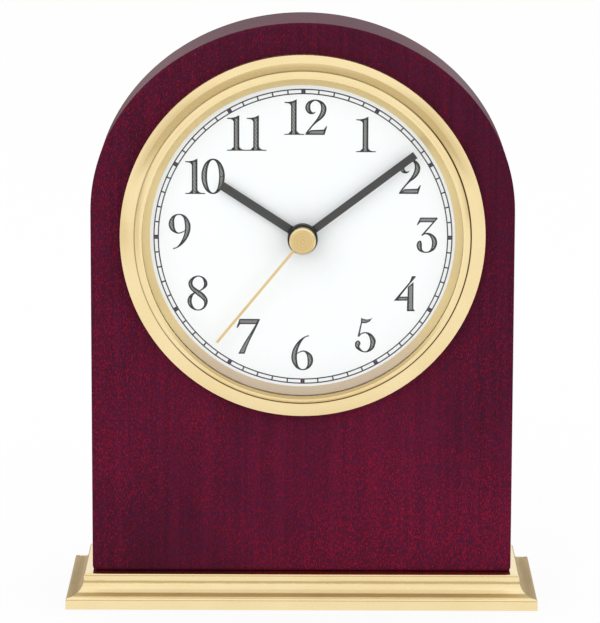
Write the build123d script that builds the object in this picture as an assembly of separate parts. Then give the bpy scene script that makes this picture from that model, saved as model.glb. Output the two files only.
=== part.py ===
from build123d import *
from math import atan2, cos, degrees, hypot, radians, sin, sqrt
import os

# Wooden desk clock in millimetres. The origin is the middle of the foot, +Z is up and the dial faces -Y.

# Plinth
slab_height = 3.2
slab_edge = 0.8
ledge = 1.0
cove_foot = 0.15
cove_height = 3.75
side_cove = 3.0
front_cove = 5.4
fascia_height = 1.45
land_edge = 0.8
base_side = 7.1
base_reach = 10.8
felt_proud = 0.3
felt_thick = 1.0
felt_margin = 5.0

# Screws that hold the plinth to the case
base_screw_span = 80.0
base_screw_length = 24.0
base_screw_radius = 2.0
base_head_radius = 4.0
base_head_height = 3.0
base_head_depth = 4.0
base_head_gap = 0.3

# Case: the margin is the wood between the bezel and the side of the case
case_margin = 8.35
case_depth = 29.0
case_height = 156.15
case_edge = 1.2
arch_rise = 53.1

# Insert: bezel, glass, dial and cup, one behind the other
axis_drop = 0.2
bezel_radius = 51.0
bezel_rise = 6.0
facet_width = 2.1
facet_wall = 2.5
facet_rise = 3.75
facet_bow = 0.03
flange_width = 1.85
flange_rise = 4.4
flange_bow = 0.03
groove_width = 0.3
groove_depth = 0.4
step_height = 0.7
ring_width = 1.25
ring_bow = 0.03
crest_width = 0.75
lip_drop = 0.2
lip_thick = 0.6
lip_width = 0.95
skirt_thick = 0.75
skirt_length = 9.0
gasket_thick = 0.3
lens_thick = 1.4
lens_room = 1.15
reflector_height = 1.6
reflector_width = 2.15
dial_thick = 0.6
dial_hole_gap = 0.7
cup_depth = 9.3
cup_wall = 0.8
grip_thick = 1.15
grip_start = 1.5
grip_length = 3.5
insert_screw_count = 3
insert_screw_start = 40.0
insert_screw_radius = 0.9
insert_head_radius = 1.6
insert_head_height = 0.8
insert_screw_length = 2.2

# Hands: heights are steps in front of the dial, and each tip stops short of the dial opening
hand_thick = 0.4
hand_gap = 0.5
hour_height = 1.4
hour_short = 15.6
hour_width = 2.35
hour_hub_radius = 4.0
minute_short = 3.6
minute_width = 2.1
hub_radius = 4.2
hub_height = 2.9
second_gap = 0.3
second_tip_gap = 0.45
second_short = 4.6
second_width = 0.75
second_thick = 0.2
second_flat = 4.6
second_tube_radius = 1.2
second_tube_height = 2.0
cap_radius = 3.7
cap_height = 2.7
cap_edge = 0.5
hour_angle = 303.0
minute_angle = 53.0
second_angle = 219.0

# Cell and its contacts, which set the size of the movement box
cell_radius = 7.1
cell_length = 49.2
cell_nub_radius = 2.75
cell_nub_length = 1.3
cell_gap = 0.2
contact_thick = 0.4
contact_size = 9.0
contact_strip = 3.0
contact_spring = 1.9
partition = 1.0
door_gap = 0.3
door_pin_radius = 0.5
door_pin_length = 0.85
notch_length = 8.0
notch_width = 1.2
notch_edge = 0.8

# Movement box and the washer and nut on its threaded bush
box_wall = 1.4
box_floor = 1.2
box_corner = 3.0
bush_wall = 1.45
bush_proud = 0.7
washer_radius = 7.0
washer_thick = 0.8
nut_flats = 11.0
nut_height = 2.5

# Coaxial shafts at the middle of the dial
arbor_radius = 0.6
minute_pipe_wall = 0.95
hour_pipe_wall = 0.85
shaft_clearance = 0.05

# Gear teeth: addendum and dedendum in modules, half widths in pitches
addendum = 0.8
dedendum = 1.2
tip_half = 0.10
root_half = 0.28
wheel_thick = 0.7
pinion_overlap = 0.2
train_start = 0.4
layer_gap = 1.0

# Train: teeth, modules and the direction of each axis, clockwise from the top
seconds_pinion_teeth = 8
third_wheel_teeth = 60
third_pinion_teeth = 8
minute_wheel_teeth = 64
cannon_teeth = 16
motion_wheel_teeth = 48
motion_pinion_teeth = 12
hour_wheel_teeth = 48
seconds_wheel_teeth = 60
intermediate_pinion_teeth = 12
intermediate_wheel_teeth = 60
rotor_pinion_teeth = 10
set_pinion_teeth = 14
third_module = 0.30
motion_module = 0.25
intermediate_module = 0.22
rotor_module = 0.20
third_bearing = 30.0
motion_bearing = 270.0
intermediate_bearing = 110.0
rotor_bearing = 60.0
set_bearing = 315.0
post_radius = 0.45
motion_post_radius = 0.8
post_collar = 0.5
post_proud = 0.4
end_float = 0.1

# Stepping motor
rotor_lead = 0.5
rotor_radius = 2.4
rotor_length = 2.0
stator_thick = 1.0
stator_gap = 0.6
stator_web = 1.5
stator_height = 17.5
stator_arm = 3.5
core_width = 2.0
core_thick = 1.0
coil_radius = 3.1
coil_flange = 0.6
coil_wall = 0.4
coil_reach = 8.5
coil_slack = 0.4
bridge_thick = 1.2
bridge_reach = 6.0
support_radius = 1.3

# Electronics
board_height = 15.0
board_thick = 1.0
board_gap = 0.5
chip_radius = 2.8
chip_height = 1.0
crystal_radius = 1.0
crystal_length = 6.0

# Setting knob and rear cover
stem_radius = 1.3
stem_pivot_radius = 0.7
stem_pivot_length = 0.7
knob_radius = 5.0
knob_height = 2.6
knob_gap = 0.4
knob_grooves = 24
knob_groove_radius = 0.3
cover_overlap = 6.1
cover_thick = 2.0
cover_recess = 1.0
cover_gap = 0.3
window_margin = 0.5
cover_screw_count = 4
cover_screw_inset = 2.9
cover_screw_radius = 1.2
cover_screw_length = 9.0
cover_head_radius = 2.3
cover_head_height = 1.2
cross_length = 3.2
cross_width = 0.6

# Clearance of pieces that fit together, and how far a cut runs past a face
fit = 0.05
past = 1.0

# Radii of the insert, from the bezel in
facet_radius = bezel_radius - facet_width
flange_radius = facet_radius - flange_width
step_radius = flange_radius - groove_width
crest_radius = step_radius - ring_width
lip_radius = crest_radius - crest_width
seat_radius = lip_radius + lip_width
inner_radius = seat_radius - fit
skirt_radius = seat_radius + skirt_thick
bore_radius = skirt_radius + grip_thick
dial_opening = lip_radius - reflector_width
cover_radius = bore_radius + cover_overlap
cover_screw_circle = cover_radius - cover_screw_inset

# Outer sizes and levels on the way up
case_width = 2 * (bezel_radius + case_margin)
base_width = case_width + 2 * base_side
base_depth = case_depth + 2 * base_reach
base_height = slab_height + cove_foot + cove_height + fascia_height
base_bottom = felt_proud
base_top = base_bottom + base_height
case_top = base_top + case_height
axis_z = case_top - case_width / 2 - axis_drop
front_y = -case_depth / 2
base_head_top = felt_thick + base_head_depth

# Hands in front of the dial
minute_height = hour_height + hand_thick + hand_gap
second_tip_height = minute_height + hand_thick + second_tip_gap
second_height = minute_height + hub_height + second_gap
hour_length = dial_opening - hour_short
minute_length = dial_opening - minute_short
second_length = dial_opening - second_short
lens_dome = second_height + second_thick + fit + cap_height + lens_room - reflector_height

# Coaxial radii
minute_pipe_radius = arbor_radius + shaft_clearance + minute_pipe_wall
hour_pipe_radius = minute_pipe_radius + shaft_clearance + hour_pipe_wall
bush_radius = hour_pipe_radius + shaft_clearance + bush_wall
bush_length = cup_wall + washer_thick + nut_height + bush_proud
dial_hole = hour_pipe_radius + dial_hole_gap

# Sizes of the movement box
box_size = cell_length + cell_nub_length + contact_spring + 2 * contact_thick + 2 * box_wall
box_depth = 2 * (cell_radius + cell_gap + box_floor)
pinion_thick = wheel_thick + 2 * pinion_overlap

# Depths behind the front face of the case
lip_front = -bezel_rise + lip_drop
lip_back = lip_front + lip_thick
lens_front = lip_back + gasket_thick
lens_back = lens_front + lens_thick
dial_front = lens_back + reflector_height
dial_back = dial_front + dial_thick
cup_back = dial_back + cup_depth
box_front = cup_back
box_inner_front = box_front + box_floor
box_back = box_front + box_depth
box_inner_back = box_back - box_floor
box_split = (box_front + box_back) / 2
cover_back = case_depth - cover_recess
cover_front = cover_back - cover_thick
knob_front = box_back + knob_gap

# Depths of the train, from the front of the box to the back
layer_step = wheel_thick + layer_gap
hour_layer = box_inner_front + train_start
motion_layer = hour_layer + layer_step
minute_layer = motion_layer + layer_step
third_layer = minute_layer + layer_step
seconds_layer = third_layer + layer_step
intermediate_layer = seconds_layer + layer_step
rotor_front = intermediate_layer + wheel_thick + rotor_lead
rotor_back = rotor_front + rotor_length
bridge_front = box_inner_back - bridge_thick
stator_front = (rotor_front + rotor_back - stator_thick) / 2
stator_back = stator_front + stator_thick
board_front = stator_back - board_thick

# Box and cell places across the dial
cavity_half = box_size / 2 - box_wall
cell_height = -cavity_half + cell_radius + cell_gap
partition_bottom = cell_height + cell_radius + cell_gap
partition_top = partition_bottom + partition
partition_half = cavity_half - 2 * contact_thick
cell_depth = box_inner_front + cell_gap + cell_radius
cell_right = cavity_half - contact_thick
cell_shoulder = cell_right - cell_nub_length
hinge_depth = box_back - box_floor / 2
hinge_height = -cavity_half + box_floor / 2 + door_gap

# Axes of the train
third_distance = third_module * (seconds_pinion_teeth + third_wheel_teeth) / 2
minute_module = 2 * third_distance / (third_pinion_teeth + minute_wheel_teeth)
motion_distance = motion_module * (cannon_teeth + motion_wheel_teeth) / 2
hour_module = 2 * motion_distance / (motion_pinion_teeth + hour_wheel_teeth)
intermediate_distance = intermediate_module * (intermediate_pinion_teeth + seconds_wheel_teeth) / 2
rotor_distance = rotor_module * (rotor_pinion_teeth + intermediate_wheel_teeth) / 2
set_distance = motion_module * (set_pinion_teeth + motion_wheel_teeth) / 2


def at(radius, bearing, start=(0.0, 0.0)):
    """Point at a radius and a clockwise bearing from the top."""
    angle = radians(bearing)
    return start[0] + radius * sin(angle), start[1] + radius * cos(angle)


centre = (0.0, 0.0)
third_axis = at(third_distance, third_bearing)
motion_axis = at(motion_distance, motion_bearing)
intermediate_axis = at(intermediate_distance, intermediate_bearing)
rotor_axis = at(rotor_distance, rotor_bearing, intermediate_axis)
set_axis = at(set_distance, set_bearing, motion_axis)

# Motor and board places
coil_x = rotor_axis[0] + coil_reach
coil_depth = stator_front - core_thick / 2
stator_bottom = rotor_axis[1] - stator_height / 2
stator_top = rotor_axis[1] + stator_height / 2
arm_bottom = stator_bottom + stator_arm
arm_top = stator_top - stator_arm
spool_radius = hypot(core_width, core_thick) / 2 + coil_wall
board_middle = cavity_half - board_gap - board_height / 2
board_post_x = cavity_half - box_corner - support_radius


def mesh_phase(start_axis, start_teeth, start_phase, end_axis, end_teeth):
    """Phase that puts a gap of the second gear on a tooth of the first."""
    across = end_axis[0] - start_axis[0]
    up = end_axis[1] - start_axis[1]
    bearing = degrees(atan2(across, up))
    turn = (bearing - start_phase) * start_teeth / 360
    return bearing + 180 - (0.5 - turn) * 360 / end_teeth


third_phase = mesh_phase(centre, seconds_pinion_teeth, 0, third_axis, third_wheel_teeth)
minute_phase = mesh_phase(third_axis, third_pinion_teeth, 0, centre, minute_wheel_teeth)
motion_phase = mesh_phase(centre, cannon_teeth, 0, motion_axis, motion_wheel_teeth)
hour_phase = mesh_phase(motion_axis, motion_pinion_teeth, 0, centre, hour_wheel_teeth)
intermediate_phase = mesh_phase(
    centre, seconds_wheel_teeth, 0, intermediate_axis, intermediate_pinion_teeth
)
rotor_phase = mesh_phase(intermediate_axis, intermediate_wheel_teeth, 0, rotor_axis, rotor_pinion_teeth)
set_phase = mesh_phase(motion_axis, motion_wheel_teeth, motion_phase, set_axis, set_pinion_teeth)


def disc(radius, front, back, axis=centre):
    """Cylinder along the depth of the clock."""
    middle = (front + back) / 2
    return Pos(axis[0], middle, axis[1]) * Rot(90, 0, 0) * Cylinder(radius, back - front)


def tube(outer, inner, front, back, axis=centre):
    """Round tube along the depth of the clock."""
    return disc(outer, front, back, axis) - disc(inner, front, back, axis)


def block(left, right, front, back, bottom, top):
    """Box between six planes."""
    middle = Pos((left + right) / 2, (front + back) / 2, (bottom + top) / 2)
    return middle * Box(right - left, back - front, top - bottom)


def turned(*edges):
    """Solid of revolution about the dial axis from (radius, depth) edges."""
    return revolve(make_face(edges), Axis.Y)


def plate(sketch, front, back):
    """Flat piece of a sketch drawn as seen from the front."""
    middle = Pos(0, (front + back) / 2, 0)
    return middle * extrude(Plane.XZ * sketch, (back - front) / 2, both=True)


def gear(teeth, module, front, back, axis=centre, phase=0.0):
    """Spur gear with straight-flanked teeth."""
    tip = module * (teeth / 2 + addendum)
    root = module * (teeth / 2 - dedendum)
    pitch = 360 / teeth
    outline = []
    for tooth in range(teeth):
        middle = phase + tooth * pitch
        outline.append(at(root, middle - root_half * pitch))
        outline.append(at(tip, middle - tip_half * pitch))
        outline.append(at(tip, middle + tip_half * pitch))
        outline.append(at(root, middle + root_half * pitch))
    return Pos(axis[0], 0, axis[1]) * plate(Polygon(*outline), front, back)


def pinion(teeth, module, layer, axis=centre, phase=0.0):
    """Small gear that stands a little past both faces of the wheel it drives."""
    return gear(teeth, module, layer - pinion_overlap, layer - pinion_overlap + pinion_thick, axis, phase)


def quarter(outer, inner):
    """Quarter circle that leaves the first point sideways and meets the second point end on."""
    turn = sin(radians(45))
    middle = (inner[0] + (outer[0] - inner[0]) * turn, outer[1] + (inner[1] - outer[1]) * turn)
    return ThreePointArc(outer, middle, inner)


def in_case(piece):
    """Move a piece from the dial axis to its place in the case."""
    return Pos(0, front_y, axis_z) * piece


def moulding(half, cove_width):
    """Outline of the plinth across its middle, from the slab up to the land."""
    slab_top = base_bottom + slab_height
    foot = half - slab_edge - ledge
    foot_top = slab_top + cove_foot
    land = foot - cove_width
    land_start = foot_top + cove_height
    right = [
        Line((0, base_bottom), (half, base_bottom)),
        Line((half, base_bottom), (half, slab_top - slab_edge)),
        quarter((half, slab_top - slab_edge), (half - slab_edge, slab_top)),
        Line((half - slab_edge, slab_top), (foot, slab_top)),
        Line((foot, slab_top), (foot, foot_top)),
        EllipticalCenterArc((foot, land_start), cove_width, cove_height, 180, arc_size=90),
        Line((land, land_start), (land, base_top - land_edge)),
        quarter((land, base_top - land_edge), (land - land_edge, base_top)),
        Line((land - land_edge, base_top), (0, base_top)),
        Line((0, base_top), (0, base_bottom)),
    ]
    face = make_face(right)
    return face + mirror(face, Plane.YZ)


def base_screw_places():
    """Middles of the two screws under the plinth."""
    return [Pos(-base_screw_span / 2, 0, 0), Pos(base_screw_span / 2, 0, 0)]


def felt_outline(gap=0.0):
    """Felt sheet inset from the edge of the plinth."""
    margin = 2 * (felt_margin - gap)
    return Rectangle(base_width - margin, base_depth - margin)


def rod(radius, bottom, top):
    """Upright cylinder on the Z axis."""
    return Pos(0, 0, (bottom + top) / 2) * Cylinder(radius, top - bottom)


def brass_base():
    """Plinth whose moulding is mitred at the corners, recessed below for the felt."""
    long_run = extrude(Plane.XZ * moulding(base_width / 2, side_cove), base_depth, both=True)
    short_run = extrude(Plane.YZ * moulding(base_depth / 2, front_cove), base_width, both=True)
    body = (long_run & short_run) - extrude(felt_outline(fit), felt_thick)
    hole = rod(base_head_radius + base_head_gap, 0, base_head_top)
    hole += rod(base_screw_radius + fit, 0, base_top + past)
    for place in base_screw_places():
        body -= place * hole
    return body


def base_felt():
    return extrude(felt_outline(), felt_thick)


def base_screws():
    """Slotted screws up through the plinth into the case."""
    head_bottom = base_head_top - base_head_height
    screw = rod(base_head_radius, head_bottom, base_head_top)
    screw += rod(base_screw_radius, base_head_top, base_head_top + base_screw_length)
    screw -= Pos(0, 0, head_bottom) * Box(2 * base_head_radius, base_screw_radius / 2, base_head_height)
    return Compound(children=[place * screw for place in base_screw_places()])


def wood_case():
    """Arched block with rounded edges, bored through and rebated at the back."""
    half = case_width / 2
    spring = case_top - arch_rise
    outline = [
        Line((-half, base_top), (half, base_top)),
        Line((half, base_top), (half, spring)),
        EllipticalCenterArc((0, spring), half, arch_rise, 0, arc_size=180),
        Line((-half, spring), (-half, base_top)),
    ]
    body = extrude(Plane.XZ * make_face(outline), case_depth / 2, both=True)
    faces = body.faces().sort_by(Axis.Y)
    corners = body.faces().sort_by(Axis.Z)[0].edges().filter_by(Axis.Y)
    body = fillet(faces[0].edges() + faces[-1].edges() + corners, case_edge)
    cuts = disc(bore_radius, -past, case_depth + past)
    cuts += disc(cover_radius + cover_gap, cover_front, case_depth + past)
    for axis in cover_screw_axes():
        cuts += disc(cover_screw_radius + fit, cover_front - cover_screw_length, case_depth, axis)
    body -= in_case(cuts)
    for place in base_screw_places():
        body -= place * rod(base_screw_radius + fit, 0, base_head_top + base_screw_length + fit)
    return body


def bowed(start, end, bow):
    """Arc from one point to another that swells to the left of the straight way by the bow."""
    way = Vector(end) - Vector(start)
    middle = (Vector(start) + Vector(end)) / 2
    return ThreePointArc(start, middle + Vector(-way.Y, way.X).normalized() * bow, end)


def bezel_ring():
    """Flange of two facets on the wood, a fine groove, a raised ring, and a skirt into the bore."""
    groove_floor = -flange_rise + groove_depth
    ring_start = -flange_rise - step_height
    return turned(
        Line((skirt_radius, 0), (bezel_radius, 0)),
        Line((bezel_radius, 0), (bezel_radius, -facet_wall)),
        bowed((bezel_radius, -facet_wall), (facet_radius, -facet_rise), facet_bow),
        bowed((facet_radius, -facet_rise), (flange_radius, -flange_rise), flange_bow),
        Line((flange_radius, -flange_rise), (flange_radius, groove_floor)),
        Line((flange_radius, groove_floor), (step_radius, groove_floor)),
        Line((step_radius, groove_floor), (step_radius, ring_start)),
        bowed((step_radius, ring_start), (crest_radius, -bezel_rise), ring_bow),
        Line((crest_radius, -bezel_rise), (lip_radius, lip_front)),
        Line((lip_radius, lip_front), (lip_radius, lip_back)),
        Line((lip_radius, lip_back), (seat_radius, lip_back)),
        Line((seat_radius, lip_back), (seat_radius, skirt_length)),
        Line((seat_radius, skirt_length), (skirt_radius, skirt_length)),
        Line((skirt_radius, skirt_length), (skirt_radius, 0)),
    ) - around_insert(insert_screw_hole())


def around_insert(piece):
    """Copies of a piece at the bearings of the radial screws, between the grip ring and the skirt's end."""
    depth = (grip_start + grip_length + skirt_length) / 2
    step = 360 / insert_screw_count
    bearings = [insert_screw_start + step * number for number in range(insert_screw_count)]
    return [Rot(0, bearing, 0) * Pos(0, depth, 0) * piece for bearing in bearings]


def insert_screw_hole():
    """Radial hole through the skirt and the cup."""
    return rod(insert_screw_radius + fit, skirt_radius - insert_screw_length - fit, skirt_radius + past)


def insert_screws():
    """Pan-head screws that hold the cup in the bezel skirt."""
    screw = rod(insert_screw_radius, skirt_radius - insert_screw_length, skirt_radius)
    screw += rod(insert_head_radius, skirt_radius, skirt_radius + insert_head_height)
    return Compound(children=around_insert(screw))


def grip_ring():
    return tube(bore_radius - fit, skirt_radius + fit, grip_start, grip_start + grip_length)


def lens_gasket():
    return tube(inner_radius, lip_radius, lip_back, lens_front)


def dome_arc(edge_depth):
    """Arc of the convex glass from the crown to the lip."""
    sphere = (lip_radius * lip_radius + lens_dome * lens_dome) / (2 * lens_dome)
    middle = lip_radius / 2
    crown = edge_depth - lens_dome
    middle_depth = crown + sphere - sqrt(sphere * sphere - middle * middle)
    return ThreePointArc((0, crown), (middle, middle_depth), (lip_radius, edge_depth))


def lens():
    """Convex glass of even thickness with a flat rim."""
    return turned(
        dome_arc(lens_front),
        Line((lip_radius, lens_front), (inner_radius, lens_front)),
        Line((inner_radius, lens_front), (inner_radius, lens_back)),
        Line((inner_radius, lens_back), (lip_radius, lens_back)),
        dome_arc(lens_back),
        Line((0, lens_back - lens_dome), (0, lens_front - lens_dome)),
    )


def reflector_ring():
    """Sloping ring that holds the glass and frames the dial."""
    return turned(
        Line((lip_radius, lens_back), (inner_radius, lens_back)),
        Line((inner_radius, lens_back), (inner_radius, dial_front)),
        Line((inner_radius, dial_front), (dial_opening, dial_front)),
        Line((dial_opening, dial_front), (lip_radius, lens_back)),
    )


def dial_plate():
    return tube(inner_radius, dial_hole, dial_front, dial_back)


def insert_cup():
    """Shallow metal cup behind the dial that carries the movement."""
    shell = disc(inner_radius, dial_back, cup_back)
    shell -= disc(inner_radius - cup_wall, dial_back - past, cup_back - cup_wall)
    shell -= disc(bush_radius + fit, dial_back, cup_back + past)
    return shell - around_insert(insert_screw_hole())


def clamp_washer():
    back = cup_back - cup_wall
    return tube(washer_radius, bush_radius + fit, back - washer_thick, back)


def clamp_nut():
    back = cup_back - cup_wall - washer_thick
    hexagon = RegularPolygon(nut_flats / 2, 6, major_radius=False)
    return plate(hexagon, back - nut_height, back) - disc(bush_radius + fit, back - nut_height, back)


def hand_blade(length, width, height):
    """Parallel baton from the middle of the dial to its square tip."""
    back = dial_front - height
    return block(-width / 2, width / 2, back - hand_thick, back, 0, length)


def hour_hand():
    back = dial_front - hour_height
    hand = hand_blade(hour_length, hour_width, hour_height) + disc(hour_hub_radius, back - hand_thick, back)
    eye = disc(hour_pipe_radius + fit, back - hand_thick - past, back + past)
    return Rot(0, hour_angle, 0) * (hand - eye)


def minute_hand():
    """Baton with a tall round hub."""
    back = dial_front - minute_height
    hand = hand_blade(minute_length, minute_width, minute_height) + disc(hub_radius, back - hub_height, back)
    eye = disc(minute_pipe_radius + fit, back - hub_height - past, back + past)
    return Rot(0, minute_angle, 0) * (hand - eye)


def second_hand():
    """Thin hand, flat under its cap and then sloping down under the convex glass."""
    root = dial_front - second_height
    tip = dial_front - second_tip_height
    side = Polygon(
        (root, 0),
        (root, second_flat),
        (tip, second_length),
        (tip - second_thick, second_length),
        (root - second_thick, second_flat),
        (root - second_thick, 0),
    )
    blade = extrude(Plane.YZ * side, second_width / 2, both=True)
    collet = disc(second_tube_radius, root - second_tube_height, root)
    hand = blade + collet - disc(arbor_radius + fit, root - second_tube_height, root + past)
    return Rot(0, second_angle, 0) * hand


def second_cap():
    """Round cap over the collet of the second hand."""
    back = dial_front - second_height - second_thick - fit
    cap = disc(cap_radius, back - cap_height, back)
    cap = chamfer(cap.faces().sort_by(Axis.Y)[0].edges(), cap_edge)
    return cap - disc(second_tube_radius + fit, back - second_tube_height, back + past)


def box_outline(inset=0.0):
    """Rounded square of the movement box."""
    size = box_size - 2 * inset
    return RectangleRounded(size, size, max(box_corner - inset, fit))


def post(axis, radius, root, tip, collar_tip):
    """Fixed post with a collar that the wheel runs on."""
    pin = disc(radius, min(root, tip), max(root, tip), axis)
    return pin + disc(radius + post_collar, min(root, collar_tip), max(root, collar_tip), axis)


def movement_front_case():
    """Tray with the threaded bush, the cell partition and the front posts."""
    body = plate(box_outline(), box_front, box_split)
    body -= plate(box_outline(box_wall), box_inner_front, box_split + past)
    body += block(
        -partition_half, partition_half, box_inner_front, box_split, partition_bottom, partition_top
    )
    body += disc(bush_radius, box_front - bush_length, box_front)
    motion_tip = motion_layer + wheel_thick + post_proud
    motion_collar = hour_layer - pinion_overlap - end_float
    body += post(motion_axis, motion_post_radius, box_inner_front, motion_tip, motion_collar)
    third_tip = third_layer + wheel_thick + post_proud
    third_collar = minute_layer - pinion_overlap - end_float
    body += post(third_axis, post_radius, box_inner_front, third_tip, third_collar)
    body -= disc(hour_pipe_radius + shaft_clearance, box_front - bush_length - past, box_inner_front + past)
    pivot_end = box_inner_front - stem_pivot_length - end_float
    return body - disc(stem_pivot_radius + shaft_clearance, pivot_end, box_inner_front, set_axis)


def movement_rear_case():
    """Lid with the opening for the battery door and posts for the board."""
    body = plate(box_outline(), box_split, box_back)
    body -= plate(box_outline(box_wall), box_split - past, box_inner_back)
    body -= block(-cavity_half, cavity_half, box_split, box_back + past, -cavity_half, partition_bottom)
    body += block(
        -partition_half, partition_half, box_split, box_inner_back, partition_bottom, partition_top
    )
    for side in (-1, 1):
        body += disc(support_radius, stator_back, box_inner_back, (side * board_post_x, board_middle))
    body -= across_door(door_pin_radius + shaft_clearance, cavity_half + door_pin_length + end_float)
    return body - disc(stem_radius + shaft_clearance, box_inner_back - past, box_back + past, set_axis)


def across_door(radius, half):
    """Cylinder along the hinge of the battery door."""
    return Pos(0, hinge_depth, hinge_height) * Rot(0, 90, 0) * Cylinder(radius, 2 * half)


def battery_door():
    """Flat door that turns on two moulded pins at its lower edge, with a notch for a fingernail."""
    half = cavity_half - door_gap
    top = partition_bottom - door_gap
    door = block(-half, half, box_inner_back, box_back, hinge_height, top)
    door += across_door(box_floor / 2, half)
    door += across_door(door_pin_radius, cavity_half + door_pin_length)
    notch_top = top - notch_edge
    return door - block(
        -notch_length / 2, notch_length / 2, hinge_depth, box_back + past, notch_top - notch_width, notch_top
    )


def train_bridge():
    """Plate on the rear case with posts for the motor wheels and a bearing for the seconds arbor."""
    body = block(
        -bridge_reach, coil_x + coil_radius, bridge_front, box_inner_back, stator_bottom, stator_top
    )
    pinion_start = seconds_layer - pinion_overlap
    wheel_end = intermediate_layer + wheel_thick
    body += post(
        intermediate_axis, post_radius, bridge_front, pinion_start - post_proud, wheel_end + end_float
    )
    rotor_start = intermediate_layer - pinion_overlap
    body += post(rotor_axis, post_radius, bridge_front, rotor_start - post_proud, rotor_back + end_float)
    for height in (stator_bottom + stator_arm / 2, stator_top - stator_arm / 2):
        body += disc(support_radius, stator_back, bridge_front, (rotor_axis[0], height))
    return body - disc(arbor_radius + shaft_clearance, bridge_front - past, box_inner_back + past)


def seconds_wheel():
    """Arbor that carries the second hand, with the seconds wheel and pinion."""
    tip = dial_front - second_height - second_tube_height
    body = disc(arbor_radius, tip, box_inner_back - end_float)
    body += gear(seconds_wheel_teeth, intermediate_module, seconds_layer, seconds_layer + wheel_thick)
    return body + gear(seconds_pinion_teeth, third_module, third_layer - pinion_overlap, seconds_layer)


def minute_wheel():
    """Pipe that carries the minute hand, with the minute wheel and the cannon pinion."""
    tip = dial_front - minute_height - hub_height
    back = minute_layer + wheel_thick
    body = disc(minute_pipe_radius, tip, back)
    body += gear(minute_wheel_teeth, minute_module, minute_layer, back, phase=minute_phase)
    body += pinion(cannon_teeth, motion_module, motion_layer)
    return body - disc(arbor_radius + shaft_clearance, tip - past, back + past)


def hour_wheel():
    """Pipe that carries the hour hand, with the hour wheel."""
    tip = dial_front - hour_height - hand_thick
    back = hour_layer + wheel_thick
    body = disc(hour_pipe_radius, tip, back)
    body += gear(hour_wheel_teeth, hour_module, hour_layer, back, phase=hour_phase)
    return body - disc(minute_pipe_radius + shaft_clearance, tip - past, back + past)


def third_wheel():
    """Wheel and pinion between the seconds arbor and the minute wheel."""
    start = minute_layer - pinion_overlap
    back = third_layer + wheel_thick
    body = gear(third_pinion_teeth, minute_module, start, third_layer, third_axis)
    body += gear(third_wheel_teeth, third_module, third_layer, back, third_axis, third_phase)
    return body - disc(post_radius + shaft_clearance, start - past, back + past, third_axis)


def motion_wheel():
    """Wheel and pinion between the cannon pinion and the hour wheel."""
    start = hour_layer - pinion_overlap
    back = motion_layer + wheel_thick
    body = gear(motion_pinion_teeth, hour_module, start, motion_layer, motion_axis)
    body += gear(motion_wheel_teeth, motion_module, motion_layer, back, motion_axis, motion_phase)
    return body - disc(motion_post_radius + shaft_clearance, start - past, back + past, motion_axis)


def intermediate_wheel():
    """Wheel and pinion between the rotor and the seconds wheel."""
    start = seconds_layer - pinion_overlap
    middle = intermediate_layer
    back = middle + wheel_thick
    axis = intermediate_axis
    body = gear(intermediate_pinion_teeth, intermediate_module, start, middle, axis, intermediate_phase)
    body += gear(intermediate_wheel_teeth, rotor_module, middle, back, axis)
    return body - disc(post_radius + shaft_clearance, start - past, back + past, axis)


def rotor_pinion():
    start = intermediate_layer - pinion_overlap
    body = gear(rotor_pinion_teeth, rotor_module, start, rotor_front, rotor_axis, rotor_phase)
    return body - disc(post_radius + shaft_clearance, start, rotor_front, rotor_axis)


def rotor_magnet():
    return tube(rotor_radius, post_radius + shaft_clearance, rotor_front, rotor_back, rotor_axis)


def stator():
    """Plate with a round gap for the rotor and two arms out to the coil."""
    gap_radius = rotor_radius + stator_gap
    left = rotor_axis[0] - gap_radius - stator_web
    window = rotor_axis[0] + gap_radius + stator_web / 2
    right = coil_x + core_width
    body = block(left, right, stator_front, stator_back, stator_bottom, stator_top)
    body -= block(window, right + past, stator_front - past, stator_back + past, arm_bottom, arm_top)
    return body - disc(gap_radius, stator_front - past, stator_back + past, rotor_axis)


def core_bar(gap, bottom, top):
    """Flat bar along the coil, with a gap all round."""
    half = core_width / 2 + gap
    return block(
        coil_x - half, coil_x + half, stator_front - core_thick - gap, stator_front + gap, bottom, top
    )


def coil_core():
    return core_bar(0, stator_bottom, stator_top)


def along_coil(radius, bottom, top):
    """Cylinder along the axis of the coil."""
    return Pos(coil_x, coil_depth, 0) * rod(radius, bottom, top)


def coil_bobbin():
    """Spool with two flanges on the core."""
    low = arm_bottom + coil_slack
    high = arm_top - coil_slack
    spool = along_coil(spool_radius, low, high)
    spool += along_coil(coil_radius, low, low + coil_flange)
    spool += along_coil(coil_radius, high - coil_flange, high)
    return spool - core_bar(fit, stator_bottom, stator_top)


def coil_winding():
    low = arm_bottom + coil_slack + coil_flange
    high = arm_top - coil_slack - coil_flange
    return along_coil(coil_radius - coil_flange / 2, low, high) - along_coil(spool_radius, low, high)


def circuit_board():
    half = cavity_half - contact_thick
    bottom = board_middle - board_height / 2
    return block(-half, half, board_front, stator_back, bottom, bottom + board_height)


def timer_chip():
    return disc(chip_radius, board_front - chip_height, board_front, (-board_post_x / 2, board_middle))


def quartz_crystal():
    place = Pos(board_post_x / 2, board_front - crystal_radius, board_middle)
    return place * Rot(0, 90, 0) * Cylinder(crystal_radius, crystal_length)


def along_cell(radius, left, right):
    """Cylinder along the axis of the cell."""
    return Pos((left + right) / 2, cell_depth, cell_height) * Rot(0, 90, 0) * Cylinder(radius, right - left)


def battery():
    can = along_cell(cell_radius, cell_shoulder - cell_length, cell_shoulder)
    return can + along_cell(cell_nub_radius, cell_shoulder, cell_right)


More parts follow.
